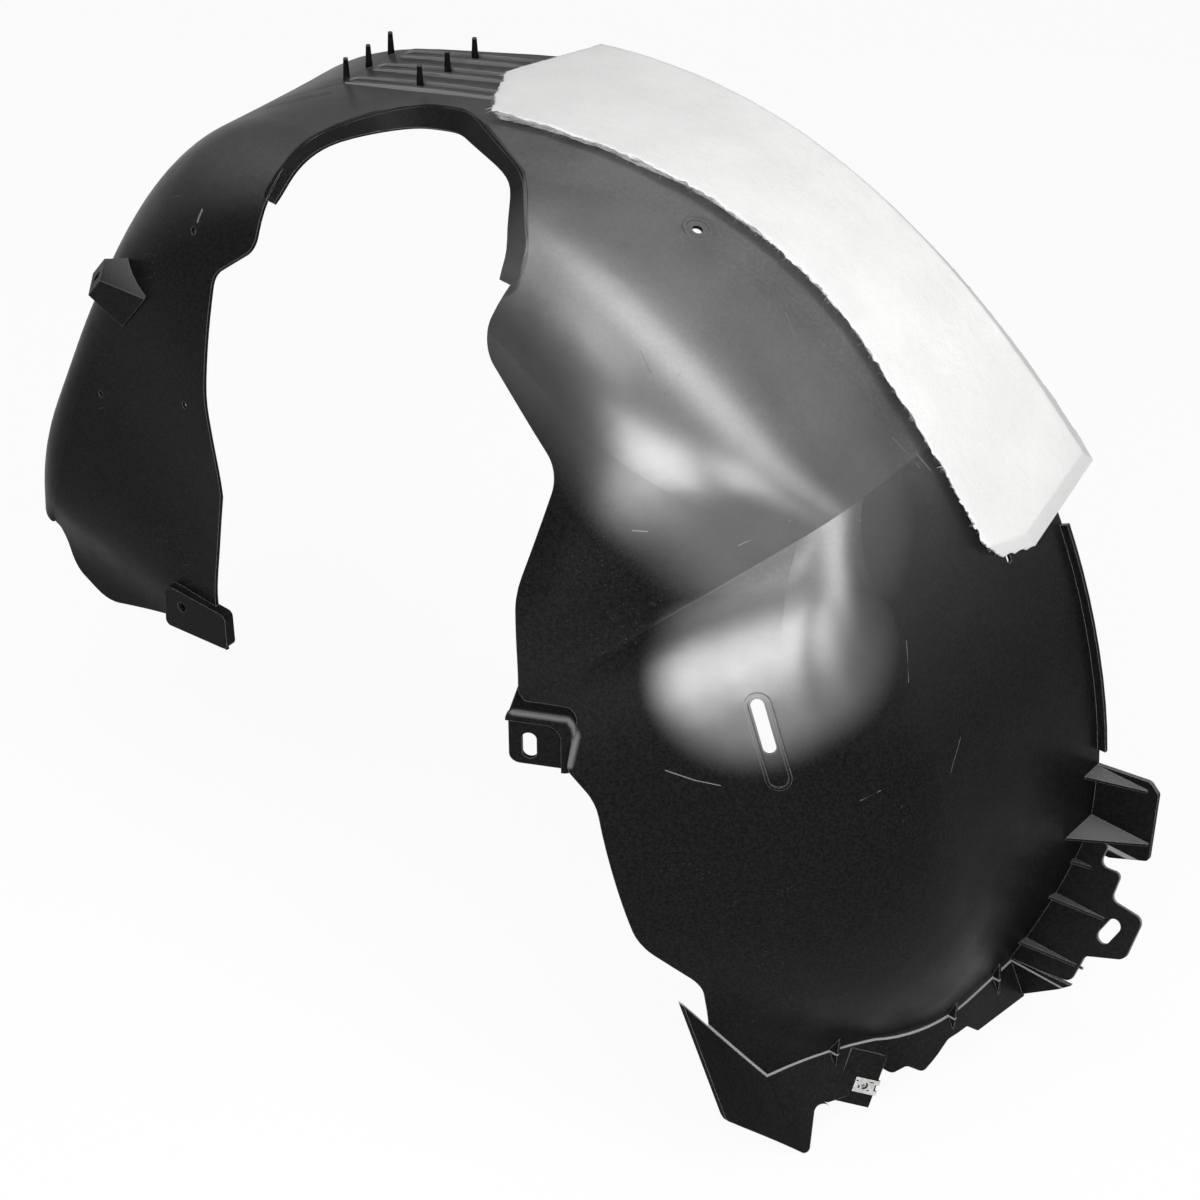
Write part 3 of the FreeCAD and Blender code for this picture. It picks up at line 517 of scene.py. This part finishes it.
def plastic_material(settings):
    """Matt black moulded plastic with dust and painted top light, rubbed glossy stretches, scuffs,
    scratches, painted highlights on edges, loops, folds, the tab's rib and the crease, and painted shade on
    the lip and in two grooves.
    """
    material, wiring, shader, place = new_material("Liner plastic")
    drawn = line_group()
    spot = wiring.parts(place)
    upward = wiring.parts(wiring.facing())["Z"]

    # Painted shade on the lip: near the lip line the dust, the painted top light and the gloss drop to a
    # tenth, so the lip stays dark as in shade.
    clean = chain_mask(wiring, drawn, place, LIP_LINE, 9 * MM, 11 * MM, 0.1, 1.0)
    # Dust and painted top light: faces that look up, on the barrel and more towards the crown, get a lighter
    # grey, partly settled dust and partly light from above painted in.
    barrel = wiring.ramp(spot["Y"], *WALL_TO_BARREL)
    dust_and_light_reach = wiring.times(barrel, wiring.ramp(spot["X"], *FRONT_TO_CROWN, 0.45, 1.0), clean)
    dust_and_top_light = wiring.times(wiring.use(dust_and_top_light_group()).outputs["Mask"], dust_and_light_reach)
    # The edge mask lays a lighter grey on outer and hollow edges alike: partly edge wear, partly painted
    # edge highlight.
    edges = wiring.use(edge_group(), radius=settings.edge)

    scuffs = wiring.times(wiring.use(scuff_group()).outputs["Mask"], 0.45)
    # Painted highlight along the top of the tab's rib.
    crest_highlight = chain_mask(wiring, drawn, place, RIB_CREST, 0.2 * MM, 3.4 * MM, 0.8, 0.0)
    # Scratches, with three painted highlights among them: two along the crease and a streak on the front
    # shoulder.
    scratches = line_mask(wiring, drawn, place, LIGHT_SCRATCHES_AND_HIGHLIGHTS)
    light = wiring.math("MAXIMUM", wiring.math("MAXIMUM", scuffs, crest_highlight), scratches)
    # Dark scratches, and painted shade in two grooves that have no relief.
    dark = line_mask(wiring, drawn, place, DARK_SCRATCHES_AND_GROOVE_SHADE)
    # Painted highlights: light lines on the walls of the crown loops, laid over the walls' shade.
    loops = wiring.times(loop_highlight_mask(wiring, drawn, place),
                         wiring.math("GREATER_THAN", spot["X"], LOOPS_BEHIND),
                         wiring.ramp(upward, 0.50, 0.80, 1.0, 0.0))
    # Painted highlight along the fold lines of the rear foot, which also raise a small bump.
    fold = wiring.times(fold_mask(wiring, drawn, place),
                        wiring.math("GREATER_THAN", spot["X"], FOOT_BEHIND))

    mottle = wiring.ramp(wiring.noise(place, 480.0, 5.0, 0.7), 0.36, 0.64)
    colour = wiring.mix(mottle, tone(settings.black, 0.65), tone(settings.black, 1.5))
    for share, layer in (
            (dust_and_top_light, tuple(settings.dust_and_top_light)),
            (wiring.times(edges.outputs["Mask"], 0.8), EDGE_WEAR_AND_HIGHLIGHT_GREY),
            (loops, LOOP_HIGHLIGHT_GREY),
            (light, tuple(settings.scuff_and_highlight)),
            (wiring.times(fold, 0.8), FOLD_HIGHLIGHT_GREY),
            (wiring.times(dark, 0.8), SCRATCH_AND_GROOVE_SHADE_GREY)):
        colour = wiring.mix(share, colour, layer)
    wiring.feed(shader["Base Color"], colour)

    clouds = wiring.noise(place, 26.0, 4.0)
    rough = wiring.ramp(clouds, 0.3, 0.7, 0.31, 0.40)
    rough = wiring.math("ADD", rough, wiring.times(dust_and_top_light, 0.06))
    wiring.feed(shader["Roughness"], wiring.math("ADD", rough, wiring.times(light, 0.2)))
    shader["Specular IOR Level"].default_value = settings.gloss

    topside = wiring.times(wiring.ramp(upward, 0.28, 0.60, 0.0, 0.2), barrel, clean)
    glossy = wiring.math("MAXIMUM", topside, line_mask(wiring, drawn, place, RUBBED))
    outside = wiring.ramp(upward, 0.0, 0.12)
    patchy = wiring.ramp(clouds, 0.2, 0.7, 1.0, 0.85)
    wiring.feed(shader["Coat Weight"], wiring.times(glossy, outside, patchy))
    shader["Coat IOR"].default_value = settings.sheen_index
    shader["Coat Roughness"].default_value = settings.sheen_rough

    grain = wiring.noise(place, 1400.0, 2.0)
    flow = wiring.noise(place, 18.0, 3.0)
    height = wiring.math("ADD", wiring.times(grain, 0.05), wiring.times(flow, 0.8))
    height = wiring.math("ADD", height, wiring.times(fold, 0.9))
    height = wiring.math("SUBTRACT", height, wiring.times(light, 0.12))
    wiring.feed(shader["Normal"], bump(wiring, height, 0.35, 0.9 * MM, edges.outputs["Normal"]))
    return material


def foam_material(settings):
    """Light foam fleece: matt, a little mottled, with a soft nap, and painted shade between the strands of
    its torn side.
    """
    material, wiring, shader, place = new_material("Foam fleece")
    clouds = wiring.noise(place, 22.0, 4.0)
    nap = wiring.noise(place, 700.0, 3.0, 0.65)
    colour = wiring.mix(wiring.ramp(clouds, 0.3, 0.7), tone(settings.colour, 0.93), tuple(settings.colour))
    colour = wiring.mix(wiring.ramp(nap, 0.25, 0.45, 0.25, 0.0), colour, NAP_GREY)

    spot = wiring.parts(place)
    barrel = wiring.vector("MULTIPLY", place, (1, 0, 1)).outputs[0]
    outward = wiring.vector("NORMALIZE", barrel).outputs[0]
    facing = wiring.facing()
    lean = wiring.vector("DOT_PRODUCT", outward, facing).outputs["Value"]
    side = wiring.ramp(lean, 0.60, 0.95, 1.0, 0.0)
    inboard = wiring.ramp(wiring.parts(facing)["Y"], -0.6, -0.1, 1.0, 0.0)
    layers = wiring.join(wiring.times(wiring.vector("LENGTH", barrel).outputs["Value"], 1300),
                         wiring.times(spot["Y"], 130),
                         wiring.times(wiring.math("SUBTRACT", spot["X"], spot["Z"]), 90))
    # Painted shade: dark grey streaks between the strands on the inboard torn side stand in for their
    # shadows.
    strands = wiring.ramp(wiring.noise(layers, 1.0, 3.0, 0.6), 0.38, 0.60, 1.0, 0.0)
    colour = wiring.mix(wiring.times(side, inboard, strands), colour, STRAND_SHADE_GREY)
    wiring.feed(shader["Base Color"], colour)
    shader["Roughness"].default_value = 0.95
    shader["Specular IOR Level"].default_value = 0.2
    shader["Sheen Weight"].default_value = 0.15
    height = wiring.math("ADD", nap, wiring.times(wiring.noise(place, 160.0, 3.0), 1.5))
    wiring.feed(shader["Normal"], bump(wiring, height, 0.4, 0.5 * MM))
    return material


def steel_material(settings):
    """Bright plated spring steel with fine wear."""
    material, wiring, shader, place = new_material("Nut steel")
    clouds = wiring.noise(place, 300.0, 4.0)
    colour = wiring.mix(wiring.ramp(clouds, 0.35, 0.7), tone(settings.steel, 0.72), tuple(settings.steel))
    wiring.feed(shader["Base Color"], colour)
    wiring.feed(shader["Roughness"], wiring.ramp(clouds, 0.3, 0.75, 0.42, 0.26))
    shader["Metallic"].default_value = 1.0
    wiring.feed(shader["Normal"], bump(wiring, wiring.noise(place, 2200.0, 2.0), 0.15, 0.1 * MM))
    return material


def wear(node_or_piece, material):
    """Give every face of an object one material."""
    node_or_piece.data.materials.clear()
    node_or_piece.data.materials.append(material)


class LINER_OT_shell(Operator):
    """Give the moulded shell its black plastic."""

    bl_idname = "liner.shell"
    bl_label = "Shell"

    def execute(self, context):
        wear(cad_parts["liner_shell"], plastic_material(context.scene.liner_plastic))
        return {"FINISHED"}


def even_skin(mesh, cell):
    """A mesh of even cells over the same solid."""
    shape = bmesh.new()
    shape.from_mesh(mesh)
    bmesh.ops.remove_doubles(shape, verts=shape.verts, dist=1e-6)
    merged = bpy.data.meshes.new("pad_blank")
    shape.to_mesh(merged)
    shape.free()
    blank = link_new("pad_blank", merged)
    skin = blank.modifiers.new("Even skin", "REMESH")
    skin.mode = "VOXEL"
    skin.voxel_size = cell
    evaluated = blank.evaluated_get(bpy.context.evaluated_depsgraph_get())
    made = bpy.data.meshes.new_from_object(evaluated)
    bpy.data.objects.remove(blank)
    return made


def cut_end(shape):
    """Cut the pad's lower end clean and close the cut."""
    first, last = PAD_END
    beyond = (last - first).cross(PAD_CUT).normalized()
    middle = sum((vertex.co for vertex in shape.verts), Vector()) / len(shape.verts)
    if beyond.dot(middle - first) > 0:
        beyond.negate()
    made = bmesh.ops.bisect_plane(shape, geom=shape.verts[:] + shape.edges[:] + shape.faces[:], dist=1e-6,
                                  plane_co=first - beyond * PAD_TRIM, plane_no=beyond, clear_outer=True)
    rim = [part for part in made["geom_cut"] if isinstance(part, bmesh.types.BMEdge)]
    bmesh.ops.holes_fill(shape, edges=rim)


def sideways(vertex):
    """How much a point of the pad looks sideways, and the way it looks along the barrel."""
    outward = Vector((vertex.co.x, 0, vertex.co.z)).normalized()
    lean = vertex.normal.dot(outward)
    way = vertex.normal - outward * lean
    if way.length < 1e-4:
        return 0.0, Vector((0, -1, 0))
    return math.sqrt(max(0.0, 1 - lean * lean)), way.normalized()


def torn_share(way, place):
    """How torn the pad's edge is on that side: most inboard and at the front, little at its cut end."""
    along = way.dot(Vector((-place.z, 0, place.x)).normalized())
    inboard = max(0.0, -way.y) * (1 - max(0.0, -along))
    return min(1.0, max(0.10, 1.2 * inboard, 0.9 * along))


def tear_edges(shape, settings):
    """Let the pad's face wander a little and its torn edges a lot."""
    shift = Vector((settings.seed * 1.7, settings.seed * 0.9, settings.seed * 2.3))
    moves = []
    for vertex in shape.verts:
        side, way = sideways(vertex)
        spot = vertex.co + shift
        wave = noise.noise(spot * 28) * 0.7 + noise.noise(spot * 75) * 0.3
        move = vertex.normal * (wave * settings.wave * (1 - side))
        ragged = (noise.noise(spot * 45) * 0.6 + noise.noise(spot * 160) * 0.55
                  + noise.noise(spot * 420) * 0.45)
        move += way * (ragged * settings.tear * torn_share(way, vertex.co) * side ** 0.7)
        moves.append(move)
    for vertex, move in zip(list(shape.verts), moves):
        vertex.co += move


def add_fibres(shape, settings):
    """Stick loose fibres on the torn edges."""
    chance = random.Random(settings.seed)
    shape.normal_update()
    roots = []
    for vertex in shape.verts:
        side, way = sideways(vertex)
        if side > 0.75 and chance.random() < torn_share(way, vertex.co) - 0.2:
            roots.append((vertex.co.copy(), way))
    chance.shuffle(roots)
    strands = bmesh.new()
    for root, way in roots[:settings.fibres]:
        stray = Vector((chance.gauss(0, 0.55), chance.gauss(0, 0.4), chance.gauss(-0.1, 0.45)))
        point = (way + stray).normalized()
        length = settings.fibre_length * chance.uniform(0.25, 1.0) ** 2
        turn = point.to_track_quat("Z", "Y").to_matrix().to_4x4()
        thick = chance.uniform(0.06, 0.14) * MM
        bmesh.ops.create_cone(strands, cap_ends=True, segments=4, radius1=thick, radius2=thick * 0.3,
                              depth=length + 2 * MM,
                              matrix=Matrix.Translation(root + point * length * 0.5) @ turn)
    loose = bpy.data.meshes.new("pad_fibres")
    strands.to_mesh(loose)
    strands.free()
    shape.from_mesh(loose)
    bpy.data.meshes.remove(loose)


class LINER_OT_foam(Operator):
    """Make the soft foam pad with its torn edges in place of the plain solid."""

    bl_idname = "liner.foam"
    bl_label = "Foam Pad"

    def execute(self, context):
        settings = context.scene.liner_foam
        mesh = even_skin(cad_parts["foam_pad"].data, settings.voxel)
        shape = bmesh.new()
        shape.from_mesh(mesh)
        cut_end(shape)
        shape.normal_update()
        tear_edges(shape, settings)
        bmesh.ops.smooth_vert(shape, verts=shape.verts, factor=0.25, use_axis_x=True, use_axis_y=True,
                              use_axis_z=True)
        add_fibres(shape, settings)
        shape.to_mesh(mesh)
        shape.free()
        mesh.shade_smooth()
        pad = link_new("torn_foam_pad", mesh)
        wear(pad, foam_material(settings))
        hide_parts("foam_pad")
        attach(pad, BODY)
        return {"FINISHED"}


def nut_place():
    """The nut's own frame: along the tab, down it and out of it. It is mirrored, so it turns faces round."""
    down = NUT_ACROSS.cross(NUT_OUT)
    turn = Matrix((NUT_ACROSS, down, NUT_OUT)).transposed().to_4x4()
    return Matrix.Translation(NUT_CENTRE) @ turn


def faces_at(verts):
    """The faces at some vertices, each once and in the same order in every run."""
    return list(dict.fromkeys(face for vertex in verts for face in vertex.link_faces))


def nut_leaf(shape, low, high, width, height, bore, facing):
    """One leaf of the nut as a sheet of small cells with a round hole."""
    cells, rows = LEAF_CELLS
    middle = (low + high) / 2
    made = bmesh.ops.create_grid(shape, x_segments=cells, y_segments=rows, size=0.5)["verts"]
    bmesh.ops.scale(shape, vec=(high - low, width, 1), verts=made)
    bmesh.ops.translate(shape, vec=(middle, 0, height), verts=made)
    faces = faces_at(made)
    if facing < 0:
        bmesh.ops.reverse_faces(shape, faces=faces)
    gone = [face for face in faces if face.calc_center_median().xy.length < bore]
    bmesh.ops.delete(shape, geom=gone, context="FACES")
    rim = [v for v in made if v.is_valid and v.is_boundary and v.co.xy.length < bore * 1.6]
    for vertex in rim:
        flat = vertex.co.xy.normalized() * bore
        vertex.co.x, vertex.co.y = flat
    return [v for v in made if v.is_valid]


def stamp(shape, verts, marks):
    """Open small stamped slits in a leaf: the cells inside the marks go."""
    gone = []
    for face in faces_at(verts):
        spot = face.calc_center_median() / MM
        if any(x0 < spot.x < x1 and y0 < spot.y < y1 for x0, x1, y0, y1 in marks):
            gone.append(face)
    bmesh.ops.delete(shape, geom=gone, context="FACES")


def nut_sheet(shape, settings):
    """The front leaf with its slits, the fold round the tab's edge and the back leaf, as thick sheet."""
    front = nut_leaf(shape, settings.edge - settings.length, settings.edge, settings.width, NUT_PLAY,
                     settings.bore, 1)
    stamp(shape, front, NUT_SLITS)
    back = nut_leaf(shape, settings.edge - settings.length * BACK_SHARE, settings.edge, settings.width,
                    -NUT_GRIP - NUT_PLAY, settings.bore, -1)
    bmesh.ops.delete(shape, geom=[v for v in front + back if v.is_valid and not v.link_faces],
                     context="VERTS")
    ends = [e for e in shape.edges if e.is_boundary
            and all(abs(v.co.x - settings.edge) < 1e-6 and v.co.z > 0 for v in e.verts)]
    bmesh.ops.spin(shape, geom=ends, cent=(settings.edge, 0, -NUT_GRIP / 2), axis=(0, 1, 0), dvec=(0, 0, 0),
                   angle=math.pi, steps=8, use_merge=False, use_normal_flip=False, use_duplicate=False)
    bmesh.ops.remove_doubles(shape, verts=shape.verts, dist=1e-5)
    bmesh.ops.recalc_face_normals(shape, faces=shape.faces)
    facing = sum(f.normal.z for f in shape.faces if f.calc_center_median().z > 0)
    if facing < 0:
        bmesh.ops.reverse_faces(shape, faces=shape.faces)
    bmesh.ops.solidify(shape, geom=shape.faces, thickness=-settings.sheet)


def nut_collar(shape, settings):
    """The threaded collar behind the back leaf."""
    leaf = -NUT_GRIP - NUT_PLAY - settings.sheet
    top = leaf + COLLAR_HOLD
    bottom = leaf - COLLAR_HEIGHT
    corners = [shape.verts.new((r, 0, z)) for r, z in (
        (settings.bore, top), (settings.collar, top),
        (settings.collar * 0.94, bottom), (settings.bore, bottom))]
    ring = [shape.edges.new((a, b)) for a, b in zip(corners, corners[1:] + corners[:1])]
    bmesh.ops.spin(shape, geom=corners + ring, cent=(0, 0, 0), axis=(0, 0, 1), dvec=(0, 0, 0),
                   angle=2 * math.pi, steps=32, use_merge=True, use_normal_flip=False,
                   use_duplicate=False)


class LINER_OT_nut(Operator):
    """Make the folded spring nut with its stamped front leaf, back leaf and collar."""

    bl_idname = "liner.nut"
    bl_label = "Spring Nut"

    def execute(self, context):
        settings = context.scene.liner_nut
        shape = bmesh.new()
        nut_sheet(shape, settings)
        nut_collar(shape, settings)
        bmesh.ops.transform(shape, matrix=nut_place(), verts=shape.verts)
        bmesh.ops.recalc_face_normals(shape, faces=shape.faces)
        mesh = bpy.data.meshes.new("folded_spring_nut")
        shape.to_mesh(mesh)
        shape.free()
        nut = link_new("folded_spring_nut", mesh)
        rounding = nut.modifiers.new("Rounded edges", "BEVEL")
        rounding.width = 0.12 * MM
        rounding.segments = 2
        rounding.limit_method = "ANGLE"
        rounding.angle_limit = math.radians(50)
        wear(nut, steel_material(settings))
        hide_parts("spring_nut")
        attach(nut, BODY)
        return {"FINISHED"}


def floor_material(settings):
    """A pale floor that shows white and keeps a soft shadow."""
    material = bpy.data.materials.new("Stage floor")
    material.use_nodes = True
    wiring = Wiring(material.node_tree)
    nodes = material.node_tree.nodes
    nodes.remove(nodes["Principled BSDF"])
    matt = wiring.add("ShaderNodeBsdfDiffuse")
    matt.inputs["Color"].default_value = tuple(settings.floor)
    plain = wiring.add("ShaderNodeEmission")
    path = wiring.add("ShaderNodeLightPath")
    seen = wiring.math("MAXIMUM", path.outputs["Is Camera Ray"], path.outputs["Is Glossy Ray"])
    seen = wiring.math("MAXIMUM", seen, path.outputs["Is Transmission Ray"])
    both = wiring.add("ShaderNodeMixShader")
    wiring.feed(both.inputs[0], wiring.times(seen, settings.white))
    wiring.feed(both.inputs[1], matt.outputs[0])
    wiring.feed(both.inputs[2], plain.outputs[0])
    wiring.feed(nodes["Material Output"].inputs["Surface"], both.outputs[0])
    return material


def lamp(name, power, bearing, rise, away, length, width):
    """A soft rectangular lamp that looks at the liner from a bearing and a rise in degrees."""
    light = bpy.data.lights.new(name, "AREA")
    light.shape = "RECTANGLE"
    light.size = length
    light.size_y = width
    light.energy = power
    made = bpy.data.objects.new(name, light)
    turn = math.radians(bearing)
    lift = math.radians(rise)
    way = Vector((math.cos(lift) * math.cos(turn), math.cos(lift) * math.sin(turn), math.sin(lift)))
    made.location = LAMP_TARGET + way * away
    made.rotation_euler = way.to_track_quat("Z", "Y").to_euler()
    bpy.context.scene.collection.objects.link(made)


class LINER_OT_stage(Operator):
    """Set up the floor, the soft lamps and the camera."""

    bl_idname = "liner.stage"
    bl_label = "Stage"

    def execute(self, context):
        settings = context.scene.liner_stage
        scene = context.scene

        shape = bmesh.new()
        bmesh.ops.create_grid(shape, x_segments=1, y_segments=1, size=FLOOR_REACH)
        bmesh.ops.translate(shape, vec=(0, 0, CAD_BOX[0].z - FLOOR_DROP), verts=shape.verts)
        mesh = bpy.data.meshes.new("stage_floor")
        shape.to_mesh(mesh)
        shape.free()
        floor = link_new("stage_floor", mesh)
        wear(floor, floor_material(settings))

        world = bpy.data.worlds.new("Room")
        world.use_nodes = True
        room = world.node_tree.nodes["Background"].inputs
        room["Color"].default_value = (1, 1, 1, 1)
        room["Strength"].default_value = settings.sky
        scene.world = world

        for name, power, *place in LAMPS:
            lamp(name, getattr(settings, power), *place)

        camera = bpy.data.objects.new("photo_camera", bpy.data.cameras.new("photo_camera"))
        camera.data.sensor_width = CAMERA_SENSOR
        camera.data.lens = settings.lens
        camera.location = CAMERA_PLACE
        camera.rotation_euler = (CAMERA_TARGET - CAMERA_PLACE).to_track_quat("-Z", "Y").to_euler()
        scene.collection.objects.link(camera)
        scene.camera = camera
        scene.view_settings.view_transform = "Standard"
        return {"FINISHED"}


OPERATORS = (LINER_OT_shell, LINER_OT_foam, LINER_OT_nut, LINER_OT_stage)
GROUPS = (
    ("liner_plastic", LINER_PG_plastic),
    ("liner_foam", LINER_PG_foam),
    ("liner_nut", LINER_PG_nut),
    ("liner_stage", LINER_PG_stage),
)


class LINER_PT_panel(Panel):
    """Lists the liner's pieces and their settings."""

    bl_idname = "LINER_PT_panel"
    bl_label = "Wheel Arch Liner"
    bl_space_type = "VIEW_3D"
    bl_region_type = "UI"
    bl_category = "Liner"

    def draw(self, context):
        for operator, (name, group) in zip(OPERATORS, GROUPS):
            column = self.layout.column(align=True)
            column.operator(operator.bl_idname)
            for setting in group.__annotations__:
                column.prop(getattr(context.scene, name), setting)


def register():
    for name, group in GROUPS:
        bpy.utils.register_class(group)
        setattr(bpy.types.Scene, name, PointerProperty(type=group))
    for made in OPERATORS + (LINER_PT_panel,):
        bpy.utils.register_class(made)


def unregister():
    for made in reversed(OPERATORS + (LINER_PT_panel,)):
        bpy.utils.unregister_class(made)
    for name, group in reversed(GROUPS):
        delattr(bpy.types.Scene, name)
        bpy.utils.unregister_class(group)


def main():
    register()
    bpy.ops.liner.shell()
    bpy.ops.liner.foam()
    bpy.ops.liner.nut()
    bpy.ops.liner.stage()
    bpy.context.view_layer.update()


if __name__ == "__main__":
    main()
